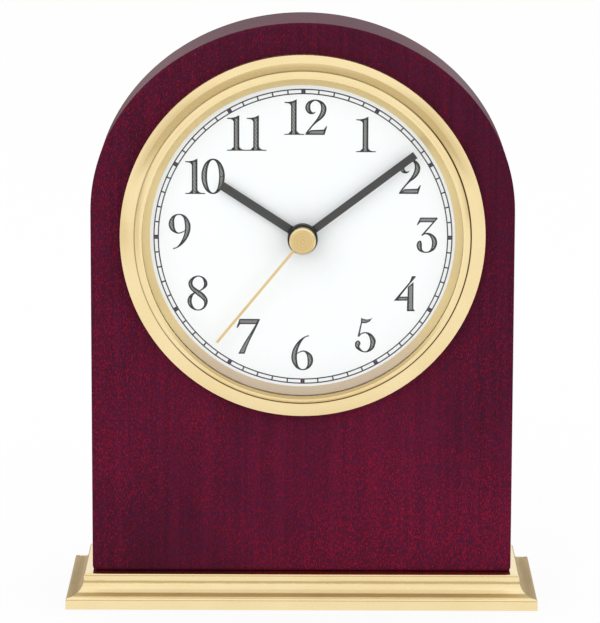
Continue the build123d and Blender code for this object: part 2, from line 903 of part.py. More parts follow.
def contact(side):
    """Plate at one end of the cell, with a strip past the partition and back to the board."""
    ends = sorted((side * cavity_half, side * (cavity_half - contact_thick)))
    half = contact_size / 2
    strip_front = cell_depth - half
    bend_top = partition_top + contact_strip
    body = block(*ends, strip_front, cell_depth + half, cell_height - half, cell_height + half)
    body += block(*ends, strip_front, strip_front + contact_strip, cell_height, bend_top)
    body += block(*ends, strip_front, stator_back, partition_top, bend_top)
    return body + block(*ends, stator_back - contact_strip, stator_back, partition_top, board_middle)


def plus_contact():
    return contact(1)


def minus_contact():
    """Contact with a pressed boss that reaches the flat end of the cell."""
    boss_end = -cavity_half + contact_thick + contact_spring
    return contact(-1) + along_cell(cell_nub_radius, -cavity_half + contact_thick, boss_end)


def set_stem():
    """Stem from its pivot in the front case out through the rear case, with the setting pinion."""
    start = box_inner_front + end_float
    body = disc(stem_pivot_radius, box_inner_front - stem_pivot_length, start, set_axis)
    body += disc(stem_radius, start, knob_front + knob_height / 2, set_axis)
    return body + pinion(set_pinion_teeth, motion_module, motion_layer, set_axis, set_phase)


def set_knob():
    """Round knob with grooves for the fingers."""
    back = knob_front + knob_height
    body = disc(knob_radius, knob_front, back, set_axis)
    body -= disc(stem_radius + fit, knob_front - past, knob_front + knob_height / 2, set_axis)
    for number in range(knob_grooves):
        place = at(knob_radius, 360 * number / knob_grooves, set_axis)
        body -= disc(knob_groove_radius, knob_front - past, back + past, place)
    return body


def cover_screw_axes():
    """Middles of the screws around the rear cover."""
    step = 360 / cover_screw_count
    return [at(cover_screw_circle, step * (number + 0.5)) for number in range(cover_screw_count)]


def rear_cover():
    """Round plate with a square window for the movement."""
    window = box_size + 2 * window_margin
    body = disc(cover_radius, cover_front, cover_back)
    body -= plate(RectangleRounded(window, window, box_corner), cover_front - past, cover_back + past)
    for axis in cover_screw_axes():
        body -= disc(cover_screw_radius + fit, cover_front - past, cover_back + past, axis)
        body -= disc(cover_head_radius + fit, cover_back - cover_head_height, cover_back + past, axis)
    return body


def cover_screws():
    """Flat-headed screws sunk in the rear cover, each with a cross slot."""
    head_front = cover_back - cover_head_height
    slot_front = cover_back - cover_head_height / 2
    bar = block(
        -cross_length / 2, cross_length / 2, slot_front, cover_back + past, -cross_width / 2, cross_width / 2
    )
    screw = disc(cover_head_radius, head_front, cover_back)
    screw += disc(cover_screw_radius, cover_front - cover_screw_length + fit, head_front)
    screw -= bar + Rot(0, 90, 0) * bar
    return Compound(children=[Pos(axis[0], 0, axis[1]) * screw for axis in cover_screw_axes()])


on_foot = [wood_case, brass_base, base_felt, base_screws]
on_dial_axis = [
    bezel_ring, lens_gasket, lens, reflector_ring, dial_plate, insert_cup, grip_ring, insert_screws,
    clamp_washer, clamp_nut, hour_hand, minute_hand, second_hand, second_cap,
    movement_front_case, movement_rear_case, battery_door, train_bridge,
    seconds_wheel, minute_wheel, hour_wheel, third_wheel, motion_wheel, intermediate_wheel,
    rotor_pinion, rotor_magnet, stator, coil_core, coil_bobbin, coil_winding,
    circuit_board, timer_chip, quartz_crystal, battery, plus_contact, minus_contact,
    set_stem, set_knob, rear_cover, cover_screws,
]

os.makedirs("parts", exist_ok=True)
for make in on_foot:
    export_step(make(), f"parts/{make.__name__}.step")
for make in on_dial_axis:
    export_step(in_case(make()), f"parts/{make.__name__}.step")
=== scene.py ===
"""Looks of the wooden desk clock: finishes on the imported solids, the dial's print, studio and camera."""
import logging
import math
from dataclasses import KW_ONLY, dataclass
from enum import Enum
from typing import Callable, Mapping, Optional, Sequence, Union

import bmesh
import bpy
from mathutils import Matrix, Vector


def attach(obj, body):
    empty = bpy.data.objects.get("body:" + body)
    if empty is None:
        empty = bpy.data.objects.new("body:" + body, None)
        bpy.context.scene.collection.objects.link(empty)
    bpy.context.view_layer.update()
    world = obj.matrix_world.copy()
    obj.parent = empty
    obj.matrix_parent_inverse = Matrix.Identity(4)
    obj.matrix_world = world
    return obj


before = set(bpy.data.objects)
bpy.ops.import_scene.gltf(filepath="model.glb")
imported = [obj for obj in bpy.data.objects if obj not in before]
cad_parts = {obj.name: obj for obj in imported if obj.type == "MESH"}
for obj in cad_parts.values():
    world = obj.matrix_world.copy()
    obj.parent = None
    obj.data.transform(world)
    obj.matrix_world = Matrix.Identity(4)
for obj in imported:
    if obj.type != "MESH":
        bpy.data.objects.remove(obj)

Colour = tuple[float, float, float, float]
Triple = tuple[float, float, float]
Pair = tuple[float, float]
Knot = tuple[float, float, float]

LOG = logging.getLogger("desk_clock")
MM = 0.001
DIAL_AXIS: Triple = (0.0, 0.0, 105.45)
ACROSS_DIAL: Triple = (1, 0, 1)
WHITE: Colour = (1.0, 1.0, 1.0, 1.0)
# Period of a wave texture whose scale is 1
WAVE_PERIOD = 0.314
# Height of a numeral and its thinnest stroke, in the units that numerals are drawn in
EM = 1000
HAIRLINE = 4.0
# How much each printed shape stands in front of the one before, in millimetres
LAP_STEP = 0.0004
# Relief, roughness, its spread, gloss level and grain of printing ink
INK = (0.002, 0.6, 0.1, 0.15, 6.0)
HALF = 0.5
HOURS = 12
MINUTES = 60


def tint(*screen: int) -> Colour:
    """Turn a screen colour, three values from 0 to 255, into the linear one that shaders take."""
    parts = [value / 255 for value in screen]
    return (*(part / 12.92 if part <= 0.04045 else ((part + 0.055) / 1.055) ** 2.4 for part in parts), 1.0)


def operator(operation: str, reflected: bool = False) -> Callable[["Wire", "Value"], "Wire"]:
    """Make a method of Wire for one arithmetic sign.

    Args:
        operation: what the Math node does.
        reflected: True where the wire stands after the sign.

    Returns:
        The method.
    """
    def apply(wire: "Wire", other: "Value") -> "Wire":
        """Add a Math node for the two values."""
        first, second = (other, wire) if reflected else (wire, other)
        return wire.recipe.node("ShaderNodeMath", {0: first, 1: second}, operation=operation)

    return apply


class Wire:
    """A shader socket that takes part in Python arithmetic."""

    def __init__(self, recipe: "Recipe", socket: Optional[bpy.types.NodeSocket]) -> None:
        """Keep the socket, which an output node lacks, and its recipe."""
        self.recipe = recipe
        self.socket = socket

    __add__ = __radd__ = operator("ADD")
    __mul__ = __rmul__ = operator("MULTIPLY")
    __sub__, __rsub__ = operator("SUBTRACT"), operator("SUBTRACT", True)
    __truediv__, __rtruediv__ = operator("DIVIDE"), operator("DIVIDE", True)
    __pow__, __rpow__ = operator("POWER"), operator("POWER", True)
    # The larger of two values
    __or__ = __ror__ = operator("MAXIMUM")

    def swing(self, least: float, rise: float) -> "Wire":
        """Give a value that is the least at 0 and rises by so much at 1."""
        return least + rise * self

    def ramp(self, low: float, high: float) -> "Wire":
        """Rise smoothly from 0 at the low value to 1 at the high one."""
        limits = {"Value": self, "From Min": low, "From Max": high}
        return self.recipe.node("ShaderNodeMapRange", limits, interpolation_type="SMOOTHSTEP")

    def band(self, from_to: Pair, rise: float, fall: float) -> "Wire":
        """Give 1 between two values and 0 away from them, with a soft rise before and a soft fall after."""
        low, high = from_to
        return self.ramp(low - rise, low) * (high + fall - self).ramp(0.0, fall)


Value = Union[Wire, float]


@dataclass(frozen=True)
class Grain:
    """One layer of soft noise: how fast it changes along X, Y and Z, and the values that become 0 and 1."""

    per_mm: Triple
    detail: float = 2.0
    distortion: float = 0.0
    from_to: Optional[Pair] = None


class Recipe:
    """The node tree of one finish, floor or sky."""

    def __init__(self, tree: bpy.types.NodeTree) -> None:
        """Start from an empty tree."""
        self.tree = tree
        tree.nodes.clear()

    def node(
        self,
        kind: str,
        sockets: Optional[Mapping[Union[str, int], object]] = None,
        out: Union[str, int] = 0,
        **settings: object,
    ) -> Wire:
        """Add one node.

        Args:
            kind: the node's type.
            sockets: values or wires for its inputs, by name or number.
            out: the output that is handed on, by name or number.
            settings: its own properties, which are set first.

        Returns:
            The chosen output.
        """
        made = self.tree.nodes.new(kind)
        for key, value in settings.items():
            setattr(made, key, value)
        for key, value in (sockets or {}).items():
            if isinstance(value, Wire):
                self.tree.links.new(value.socket, made.inputs[key])
            else:
                made.inputs[key].default_value = value
        return Wire(self, made.outputs[out] if made.outputs else None)

    def ray(self, kind: str) -> Wire:
        """Tell rays of one kind, by 1, from all others."""
        return self.node("ShaderNodeLightPath", out=f"Is {kind} Ray")

    def vector(self, operation: str, first: object, second: object, out: str = "Vector") -> Wire:
        """Add a Vector Math node on two vectors."""
        return self.node("ShaderNodeVectorMath", {0: first, 1: second}, out, operation=operation)

    def place(self, per_mm: Triple = (1.0, 1.0, 1.0)) -> Wire:
        """Give the place on the object, growing so much with each millimetre along X, Y and Z."""
        here = self.node("ShaderNodeTexCoord", out="Object")
        return self.vector("MULTIPLY", here, tuple(part / MM for part in per_mm))

    def along(self, axis: str, place: Optional[Wire] = None) -> Wire:
        """Give one coordinate of a place, or else of the place on the object in millimetres."""
        return self.node("ShaderNodeSeparateXYZ", {0: place or self.place()}, axis)

    def radius(self, centre: Triple = DIAL_AXIS) -> Wire:
        """Give the distance in millimetres from the line through a point that runs from front to back."""
        away = self.vector("SUBTRACT", self.place(), centre)
        return self.vector("LENGTH", self.vector("MULTIPLY", away, ACROSS_DIAL), (0, 0, 0), "Value")

    def noise(self, grain: Grain) -> Wire:
        """Give a soft random value from 0 to 1 that changes over the object.

        Args:
            grain: its size, its detail and its contrast.

        Returns:
            The value.
        """
        sockets = {"Vector": self.place(grain.per_mm), "Scale": 1.0}
        sockets |= {"Detail": grain.detail, "Distortion": grain.distortion}
        value = self.node("ShaderNodeTexNoise", sockets)
        return value.ramp(*grain.from_to) if grain.from_to else value

    def rings(self, depth: Value, per_mm: float, detail: float) -> Wire:
        """Give noise that changes with the distance from the dial's axis and with the depth alone."""
        across = self.node("ShaderNodeCombineXYZ", {0: self.radius(), 1: depth, 2: 0.0})
        return self.node("ShaderNodeTexNoise", {"Vector": across, "Scale": per_mm, "Detail": detail})

    def wave(self, stretch: Triple, direction: str, pitch: float, distortion: float, detail: float) -> Wire:
        """Give bands that swing between 0 and 1.

        Args:
            stretch: how much each direction counts.
            direction: the way across the bands.
            pitch: from band to band, in millimetres.
            distortion, detail: how much and how finely the bands waver.

        Returns:
            The value.
        """
        sockets = {"Vector": self.place(stretch), "Scale": WAVE_PERIOD / pitch}
        sockets |= {"Distortion": distortion, "Detail": detail}
        return self.node("ShaderNodeTexWave", sockets, "Fac", bands_direction=direction)

    def blend(self, share: Value, first: object, second: object) -> Wire:
        """Mix two colours or wires, from 0 for the first to 1 for the second."""
        # Inputs 6 and 7 and output 2 are the node's sockets for colours
        return self.node("ShaderNodeMix", {0: share, 6: first, 7: second}, 2, data_type="RGBA")

    def bump(self, height: Wire, depth_mm: float, strength: float) -> Wire:
        """Turn a height from 0 to 1 into a normal."""
        sockets = {"Strength": strength, "Distance": depth_mm * MM, "Height": height}
        return self.node("ShaderNodeBump", sockets)

    def principled(self, **sockets: object) -> Wire:
        """Add the main shader, with socket names written with underscores."""
        named = {key.replace("_", " "): value for key, value in sockets.items()}
        return self.node("ShaderNodeBsdfPrincipled", named)


class Run(Enum):
    """Which way the fine lines of a metal run."""

    TURNED = "round the dial's axis"
    DRAWN = "along the width"


@dataclass(frozen=True)
class Finish:
    """A finish that can be made into a material."""

    name: str

    def shade(self, recipe: Recipe) -> Wire:
        """Give the finish's shader; each kind has its own."""
        raise NotImplementedError

    def make(self) -> bpy.types.Material:
        """Build the material, or hand back the one already built.

        Returns:
            The material.
        """
        if self.name in bpy.data.materials:
            return bpy.data.materials[self.name]
        material = bpy.data.materials.new(self.name)
        material.use_nodes = True
        recipe = Recipe(material.node_tree)
        recipe.node("ShaderNodeOutputMaterial", {"Surface": self.shade(recipe)})
        return material


@dataclass(frozen=True)
class Lacquer(Finish):
    """Stained mahogany with upright grain and a painted pool of light about one spot, polished high up alone.
    """

    shadow: Colour = tint(66, 21, 36)
    body: Colour = tint(96, 25, 49)
    glow: Colour = tint(172, 22, 54)
    pore: Colour = tint(42, 30, 58)
    cloud: Grain = Grain((0.028, 0.028, 0.02), 2.0, 0.4)
    cloud_from_to: Pair = (0.3, 0.75)
    cloud_share: float = 0.55
    streak: Grain = Grain((0.55, 0.55, 0.012), 3.0, 0.2, (0.38, 0.68))
    streak_share: float = 0.35
    fleck: Grain = Grain((4.4, 4.4, 1.5), 2.0, 0.0, (0.5, 0.7))
    fleck_swing: Pair = (0.2, 0.35)
    patch: Grain = Grain((0.035, 0.035, 0.025), 1.0, 0.0, (0.35, 0.62))
    pores: Grain = Grain((4.8, 4.8, 1.4), 1.5, 0.0, (0.5, 0.68))
    pore_share: float = 0.8
    light_pool: Triple = (0.0, 0.0, 34.0)
    light_pool_reach: float = 95.0
    light_pool_share: float = 0.45
    light_pool_level: float = 0.55
    rough: Pair = (0.3, 0.12)
    polish_from_to: Pair = (122.0, 150.0)
    coat_index: float = 1.05
    coat_most: float = 0.55
    coat_gloss: float = 0.2
    peel: Grain = Grain((0.35, 0.35, 0.35), 1.0)
    peel_relief: Pair = (0.012, 0.5)

    def shade(self, recipe: Recipe) -> Wire:
        """Lay short red flecks and dark pores over a cloudy stain with long streaks and a painted pool of
        light.

        Args:
            recipe: its tree.

        Returns:
            The shader.
        """
        # Painted pool of light: the stain is painted lighter about one spot low on the front
        near = self.light_pool_level - recipe.radius(self.light_pool) / self.light_pool_reach
        cloud = (recipe.noise(self.cloud) + self.light_pool_share * near).ramp(*self.cloud_from_to)
        stain_and_light_pool = self.cloud_share * cloud + self.streak_share * recipe.noise(self.streak)
        fleck = recipe.noise(self.fleck)
        red = fleck * (cloud + recipe.noise(self.patch)).swing(*self.fleck_swing)
        lit = recipe.blend(red, recipe.blend(stain_and_light_pool, self.shadow, self.body), self.glow)
        return recipe.principled(
            Base_Color=recipe.blend(recipe.noise(self.pores) * self.pore_share, lit, self.pore),
            Roughness=fleck.swing(*self.rough),
            Specular_IOR_Level=0.0,
            Coat_Weight=self.coat_most * recipe.along("Z").ramp(*self.polish_from_to),
            Coat_IOR=self.coat_index,
            Coat_Roughness=self.coat_gloss,
            Normal=recipe.bump(recipe.noise(self.peel), *self.peel_relief),
        )


@dataclass(frozen=True)
class Brass(Finish):
    """Polished brass with fine lines left by turning or drawing, and a dull colour that kinds of it use for
    satin and for painted light.
    """

    run: Run = Run.TURNED
    bright: Colour = tint(248, 228, 179)
    deep: Colour = tint(237, 211, 153)
    dull: Colour = tint(176, 150, 100)
    gloss: float = 0.1
    metal: float = 0.78
    turned_per_mm: float = 5.0
    turned_detail: float = 3.0
    depth_stretch: float = 2.0
    drawn: Grain = Grain((0.05, 3.0, 3.0), 3.0)
    line_tone: float = 0.35
    line_gloss: float = 0.08
    line_relief: Pair = (0.004, 0.35)
    haze: Grain = Grain((0.06, 0.06, 0.06), 3.0, 0.0, (0.3, 0.7))
    haze_tone: float = 0.3
    haze_gloss: float = 0.05
    satin_gloss: float = 0.35

    def lines(self, recipe: Recipe) -> Wire:
        """Give the fine lines as a value from 0 to 1.

        Args:
            recipe: its tree.

        Returns:
            The value.
        """
        if self.run is Run.DRAWN:
            return recipe.noise(self.drawn)
        return recipe.rings(recipe.along("Y") * self.depth_stretch, self.turned_per_mm, self.turned_detail)

    def satin(self, recipe: Recipe) -> Value:
        """Give the share of the dull colour, from 0 to 1, for satin and painted light; plain brass has none.
        """
        return 0.0

    def metalness(self, recipe: Recipe) -> Value:
        """Give how far it mirrors like bare metal, from 0 to 1."""
        return self.metal

    def shade(self, recipe: Recipe) -> Wire:
        """Let tone and gloss follow the lines, a haze, and the satin and painted light.

        Args:
            recipe: its tree.

        Returns:
            The shader.
        """
        lines = self.lines(recipe)
        haze = recipe.noise(self.haze)
        satin = self.satin(recipe)
        polished = recipe.blend(self.line_tone * lines + self.haze_tone * haze, self.bright, self.deep)
        rough = self.gloss + self.line_gloss * lines + self.haze_gloss * haze
        return recipe.principled(
            Base_Color=recipe.blend(satin, polished, self.dull),
            Metallic=self.metalness(recipe),
            Roughness=rough + self.satin_gloss * satin,
            Normal=recipe.bump(lines, *self.line_relief),
        )


@dataclass(frozen=True)
class PlinthBrass(Brass):
    """Drawn brass with bright mouldings at front and back, satin ends and a painted shade line in the cove.
    """

    run: Run = Run.DRAWN
    # Dull colour of the satin ends and of the painted shade line in the cove
    dull: Colour = tint(158, 131, 74)
    half_width: float = 66.45
    half_depth: float = 25.3
    foot: float = 1.8
    cove_ratio: float = 1.8
    soft: float = 0.1
    speckle: Grain = Grain((3.0, 3.0, 3.0))
    satin_swing: Pair = (0.7, 0.5)
    land: float = 8.85
    satin_stops: Pair = (0.02, 0.3)
    land_from_to: Pair = (0.5, 0.1)
    cove_from_to: Pair = (3.25, 5.2)
    cove_soft: float = 0.4
    milder: float = 0.7
    # Painted shade line at the foot of the cove: its heights, how softly it fades above, and its darkest
    # share
    painted_shade_from_to: Pair = (3.66, 3.98)
    painted_shade_soft: float = 0.22
    painted_shade_most: float = 0.62

    def painted_shade_line(self, height: Wire) -> Wire:
        """Give the painted shade line near the foot of the cove."""
        return height.band(self.painted_shade_from_to, self.soft, self.painted_shade_soft)

    def satin(self, recipe: Recipe) -> Wire:
        """Give the speckled end mouldings, which start at the mitres and stop at the land, and the painted
        shade line.

        Args:
            recipe: its tree.

        Returns:
            The share of satin.
        """
        place = recipe.node("ShaderNodeVectorMath", {0: recipe.place()}, operation="ABSOLUTE")
        x, y, z = (recipe.along(axis, place) for axis in "XYZ")
        from_end = self.half_width - x
        from_front = self.half_depth - y
        mitre = from_end + (self.cove_ratio - 1.0) * ((from_end - self.foot) | 0.0)
        end = (from_front - mitre).ramp(-self.soft, self.soft)
        end = end * (self.land - z).ramp(*self.satin_stops)
        speckled = end * recipe.noise(self.speckle).swing(*self.satin_swing)
        # The painted shade line darkens the foot of the cove along all four sides
        return speckled | (self.painted_shade_most * self.painted_shade_line(z))

    def metalness(self, recipe: Recipe) -> Wire:
        """Make the cove beside its painted shade line milder, and the land under the wood purer, than the
        other mouldings.

        Args:
            recipe: its tree.

        Returns:
            The share of bare metal.
        """
        height = recipe.along("Z")
        cove = height.band(self.cove_from_to, self.soft, self.cove_soft)
        land = height.ramp(*(self.land - below for below in self.land_from_to))
        return self.metal - self.milder * cove * (1.0 - self.painted_shade_line(height)) + (1.0 - self.metal) * land


@dataclass(frozen=True)
class BezelBrass(Brass):
    """Turned brass with painted shade in a fine groove."""

    # Colour of the painted shade in the groove
    dull: Colour = tint(118, 90, 44)
    groove: Pair = (46.75, 47.05)
    soft: float = 0.16
    least: float = 0.35

    def satin(self, recipe: Recipe) -> Wire:
        """Give the painted shade in the groove, which ends softly on both sides and is darkest at the lower
        right.

        Args:
            recipe: its tree.

        Returns:
            The share of satin.
        """
        line = recipe.radius().band(self.groove, self.soft, self.soft)
        x, z = (recipe.along(axis) for axis in "XZ")
        half = self.groove[0] / 2
        # Painted shade, heaviest towards the lower right of the dial
        lower_right = (x - z + DIAL_AXIS[2]).ramp(-half, half)
        return line * lower_right.swing(self.least, 1.0 - self.least)


@dataclass(frozen=True)
class ReflectorBrass(Brass):
    """Soft turned brass with a painted greyish reflection of the dial low down."""

    bright: Colour = tint(243, 219, 164)
    deep: Colour = tint(229, 200, 140)
    # Colour of the painted greyish reflection of the dial on the ring's foot
    dull: Colour = tint(220, 200, 178)
    gloss: float = 0.26
    metal: float = 0.5
    painted_reflection_from_to: Pair = (22.0, 40.0)

    def satin(self, recipe: Recipe) -> Wire:
        """Give the painted greyish reflection on the foot of the ring."""
        return (DIAL_AXIS[2] - recipe.along("Z")).ramp(*self.painted_reflection_from_to)


@dataclass(frozen=True)
class CapBrass(Brass):
    """Gilt cap with a satin face of turned rings and a polished rim."""

    dull: Colour = tint(220, 187, 126)
    metal: float = 0.6
    rim_from_to: Pair = (3.12, 3.22)
    rings_per_mm: float = 2.4
    ring_detail: float = 2.0
    ring_from_to: Pair = (0.38, 0.62)
    least: float = 0.55

    def satin(self, recipe: Recipe) -> Wire:
        """Give the satin face with its rings, which stops at the rim."""
        rings = recipe.rings(0.0, self.rings_per_mm, self.ring_detail).ramp(*self.ring_from_to)
        return (1.0 - recipe.radius().ramp(*self.rim_from_to)) * rings.swing(self.least, 1.0 - self.least)


@dataclass(frozen=True)
class Matter(Finish):
    """Two colours whose mixture, gloss and relief follow one fine pattern."""

    first: Colour
    second: Colour
    relief: float
    rough: float
    spread: float
    gloss_level: float = 0.5
    _: KW_ONLY
    strength: float = 0.6
    metal: float = 0.0
    sheen: float = 0.0

    def pattern(self, recipe: Recipe) -> tuple[Wire, Wire]:
        """Give the share of the second colour and the height, from 0 to 1; each kind has its own."""
        raise NotImplementedError

    def shade(self, recipe: Recipe) -> Wire:
        """Let colour, gloss and surface follow the pattern.

        Args:
            recipe: its tree.

        Returns:
            The shader.
        """
        share, height = self.pattern(recipe)
        bumps = {"Normal": recipe.bump(height, self.relief, self.strength)} if self.relief else {}
        return recipe.principled(
            Base_Color=recipe.blend(share, self.first, self.second),
            Metallic=self.metal,
            Roughness=self.rough + self.spread * (height - HALF),
            Specular_IOR_Level=self.gloss_level,
            Sheen_Weight=self.sheen,
            **bumps,
        )


@dataclass(frozen=True)
class Coat(Matter):
    """Paint, enamel, plastic or rubber."""

    grain: float = 3.0
    detail: float = 3.0
    cloud_size: float = 12.0

    def pattern(self, recipe: Recipe) -> tuple[Wire, Wire]:
        """Mottle at one grain, and with clouds many times its size."""
        grain = recipe.noise(Grain((self.grain,) * 3, self.detail))
        return HALF * grain + HALF * recipe.noise(Grain((self.grain / self.cloud_size,) * 3)), grain


@dataclass(frozen=True)
class HubPaint(Matter):
    """Dark grey hand paint that turns black on the hub."""

    first: Colour = tint(22, 21, 22)
    second: Colour = tint(74, 73, 73)
    relief: float = 0.004
    strength: float = 0.4
    rough: float = 0.55
    spread: float = 0.1
    gloss_level: float = 0.2
    hub_from_to: Pair = (4.4, 4.55)
    grain: Grain = Grain((4.0, 4.0, 4.0))
    grain_tone: float = 0.25

    def pattern(self, recipe: Recipe) -> tuple[Wire, Wire]:
        """Change colour at the hub's edge, over a fine sprayed grain."""
        grain = recipe.noise(self.grain)
        return recipe.radius().ramp(*self.hub_from_to) * (1.0 - self.grain_tone * grain), grain


@dataclass(frozen=True)
class Hatch(Matter):
    """Grey print with slanted engraver's lines and no relief."""

    first: Colour = tint(158, 158, 158)
    second: Colour = tint(104, 104, 105)
    relief: float = 0.0
    rough: float = 0.6
    spread: float = 0.1
    gloss_level: float = 0.2
    slant: Triple = (1.0, 0.0, 0.55)
    pitch: float = 0.32
    waver: float = 0.6
    detail: float = 1.0

    def pattern(self, recipe: Recipe) -> tuple[Wire, Wire]:
        """Alternate two greys along a slanted line."""
        line = recipe.wave(self.slant, "DIAGONAL", self.pitch, self.waver, self.detail)
        return line, line


@dataclass(frozen=True)
class Glass(Finish):
    """Clear glass that mirrors a little, more so at a glance."""

    clear: Colour = (0.985, 0.99, 0.985, 1.0)
    mirror: Pair = (0.008, 0.3)
    power: float = 5.0
    smear: Grain = Grain((0.12, 0.12, 0.12))
    rough: Pair = (0.01, 0.02)

    def shade(self, recipe: Recipe) -> Wire:
        """Let sight through, with a faint reflection that grows towards the rim.

        Args:
            recipe: its tree.

        Returns:
            The shader.
        """
        facing = recipe.node("ShaderNodeLayerWeight", {"Blend": HALF}, "Facing")
        clear = recipe.node("ShaderNodeBsdfTransparent", {"Color": self.clear})
        rough = recipe.noise(self.smear).swing(*self.rough)
        shine = recipe.principled(Base_Color=WHITE, Metallic=1.0, Roughness=rough)
        share = (facing ** self.power).swing(*self.mirror)
        return recipe.node("ShaderNodeMixShader", {0: share, 1: clear, 2: shine})


@dataclass(frozen=True)
class Felt(Matter):
    """Dark pressed felt with a short nap."""

    first: Colour = tint(38, 40, 38)
    second: Colour = tint(66, 68, 64)
    relief: float = 0.12
    strength: float = 0.8
    rough: float = 0.94
    spread: float = 0.08
    sheen: float = 0.3
    fibre: Grain = Grain((3.5, 3.5, 3.5), 4.0, 1.5)
    fibre_from_to: Pair = (0.4, 0.7)
    cloud: Grain = Grain((0.25, 0.25, 0.25))

    def pattern(self, recipe: Recipe) -> tuple[Wire, Wire]:
        """Mix tangled fibres over a cloudy ground."""
        fibre = recipe.noise(self.fibre)
        return fibre.ramp(*self.fibre_from_to) * recipe.noise(self.cloud), fibre


@dataclass(frozen=True)
class Steel(Matter):
    """Plain steel, faintly ground."""

    first: Colour = tint(205, 206, 208)
    second: Colour = tint(150, 152, 155)
    relief: float = 0.006
    strength: float = 0.4
    rough: float = 0.375
    spread: float = 0.15
    metal: float = 1.0
    lines: Grain = Grain((0.4, 5.0, 5.0), 3.0)
    line_tone: float = 0.5
    cloud: Grain = Grain((0.5, 0.5, 0.5))
    cloud_tone: float = 0.4

    def pattern(self, recipe: Recipe) -> tuple[Wire, Wire]:
        """Lay ground lines over a cloudy tone."""
        lines = recipe.noise(self.lines)
        return self.line_tone * lines + self.cloud_tone * recipe.noise(self.cloud), lines


@dataclass(frozen=True)
class Winding(Matter):
    """Enamelled copper wire in close turns along Z."""

    first: Colour = tint(120, 58, 34)
    second: Colour = tint(214, 126, 78)
    relief: float = 0.05
    strength: float = 0.8
    rough: float = 0.3
    spread: float = -0.1
    metal: float = 0.9
    wire: float = 0.18
    stretch: Triple = (0.02, 0.02, 1.0)
    waver: float = 0.2
    detail: float = 2.0

    def pattern(self, recipe: Recipe) -> tuple[Wire, Wire]:
        """Round each turn by a wave along the coil."""
        turn = recipe.wave(self.stretch, "Z", self.wire, self.waver, self.detail)
        return turn, turn


class Slab:
    """Thin flat shapes that stand on the dial, gathered into one mesh."""

    def __init__(self, name: str, face: float, thick: float) -> None:
        """Start an empty mesh.

        Args:
            name: the piece's name.
            face: the depth of the surface that carries it, in millimetres.
            thick: how far it stands in front of that surface.
        """
        self.name = name
        self.back = face
        self.front = face - thick
        self.mesh = bmesh.new()
        self.count = 0

    def _layer(self, points: Sequence[Pair], depth: float) -> list[bmesh.types.BMVert]:
        """Put points, given as X and Z in millimetres, at one depth."""
        return [self.mesh.verts.new((x * MM, depth * MM, z * MM)) for x, z in points]

    def _front(self) -> float:
        """Give each shape its own height, so that laps don't lie in one plane."""
        self.count += 1
        return self.front - LAP_STEP * self.count

    def plate(self, outline: Sequence[Pair]) -> None:
        """Add a flat plate.

        Args:
            outline: its corners as X and Z in millimetres, in order.
        """
        front = self._layer(outline, self._front())
        back = self._layer(outline, self.back)
        faces = [self.mesh.faces.new(front), self.mesh.faces.new(back[::-1])]
        bmesh.ops.triangulate(self.mesh, faces=faces)
        for here in range(len(outline)):
            there = (here + 1) % len(outline)
            self.mesh.faces.new((front[here], back[here], back[there], front[there]))

    def band(self, left: Sequence[Pair], right: Sequence[Pair], closed: bool) -> None:
        """Add a band between two edges.

        Args:
            left, right: points of the two edges, pair by pair.
            closed: True where the band runs into its own start.
        """
        depth = self._front()
        rows = list(zip(self._layer(left, depth), self._layer(right, depth),
                        self._layer(right, self.back), self._layer(left, self.back)))
        last = len(rows) if closed else len(rows) - 1
        for here in range(last):
            near, far = rows[here], rows[(here + 1) % len(rows)]
            for side in range(len(near)):
                after = (side + 1) % len(near)
                self.mesh.faces.new((near[side], near[after], far[after], far[side]))
        if not closed:
            self.mesh.faces.new(rows[0][::-1])
            self.mesh.faces.new(rows[-1])

    def ring(self, centre: Pair, inner: float, outer: float, steps: int) -> None:
        """Add a flat ring.

        Args:
            centre: its middle as X and Z in millimetres.
            inner, outer: its radii.
            steps: corners on each edge.
        """
        x, z = centre
        turns = round_turns(steps)
        edges = ([(x + size * math.sin(turn), z + size * math.cos(turn)) for turn in turns]
                 for size in (inner, outer))
        self.band(*edges, True)

    def done(self, body: str, finish: Finish) -> None:
        """Make the piece and set it on its body.

        Args:
            body: the body it rides on.
            finish: its finish.
        """
        bmesh.ops.recalc_face_normals(self.mesh, faces=self.mesh.faces)
        data = bpy.data.meshes.new(self.name)
        self.mesh.to_mesh(data)
        self.mesh.free()
        piece = bpy.data.objects.new(self.name, data)
        bpy.context.scene.collection.objects.link(piece)
        data.materials.append(finish.make())
        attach(piece, body)
        LOG.info("%s rides on %s", self.name, body)


def dress(finish: Finish, *names: str) -> None:
    """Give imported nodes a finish.

    Args:
        finish: the finish for all of them.
        names: the nodes.
    """
    material = finish.make()
    for name in names:
        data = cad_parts[name].data
        data.materials.clear()
        data.materials.append(material)
        LOG.info("%s wears %s", name, finish.name)


def round_turns(steps: int) -> list[float]:
    """Give angles, in radians, that divide one full turn into steps."""
    return [2 * math.pi * step / steps for step in range(steps)]


def between(p: float, q: float, r: float, s: float, t: float) -> float:
    """Give the value at t, from 0 at q to 1 at r, of a smooth curve through four values."""
    square, cube = 2 * p - 5 * q + 4 * r - s, 3 * q - p - 3 * r + s
    return 0.5 * (2 * q + (r - p) * t + square * t * t + cube * t ** 3)


def smooth_path(knots: Sequence[Knot], closed: bool, steps: int) -> list[Knot]:
    """Run a smooth curve through knots.

    Args:
        knots: X, height and stroke width of each knot.
        closed: True where the curve ends at its start.
        steps: points for each span.

    Returns:
        Points of the curve with their widths.
    """
    padded = (*knots[-1:], *knots, *knots[:2]) if closed else (*knots[:1], *knots, *knots[-1:])
    path = [
        tuple(between(*values, step / steps) for values in zip(*span))
        for span in zip(padded, padded[1:], padded[2:], padded[3:])
        for step in range(steps)
    ]
    return path if closed else [*path, knots[-1]]


